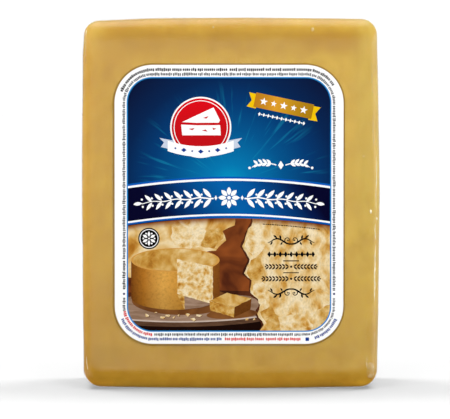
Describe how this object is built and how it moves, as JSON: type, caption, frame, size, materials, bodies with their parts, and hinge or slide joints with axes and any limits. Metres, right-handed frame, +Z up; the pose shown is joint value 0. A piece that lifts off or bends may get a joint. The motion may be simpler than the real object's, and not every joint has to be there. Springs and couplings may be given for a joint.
{
  "type": "parmesan cheese block",
  "caption": "Whole upright rectangular block of hard golden cheese, vacuum sealed in clear clinging film, with a large rounded printed label stuck on its front.",
  "frame": {"origin": "middle of the footprint, on the surface the block stands on", "axes": "+Z up, along the block's long edges; the labelled front faces -Y; +X is to the right when looking at the front"},
  "size_m": [0.16, 0.0807, 0.1985],
  "materials": {
    "cheese": "satin",
    "clear_film": "gloss",
    "label_print": "satin"
  },
  "bodies": {
    "root": {"cheese_block": "cheese", "label": "label_print"}
  },
  "joints": []
}
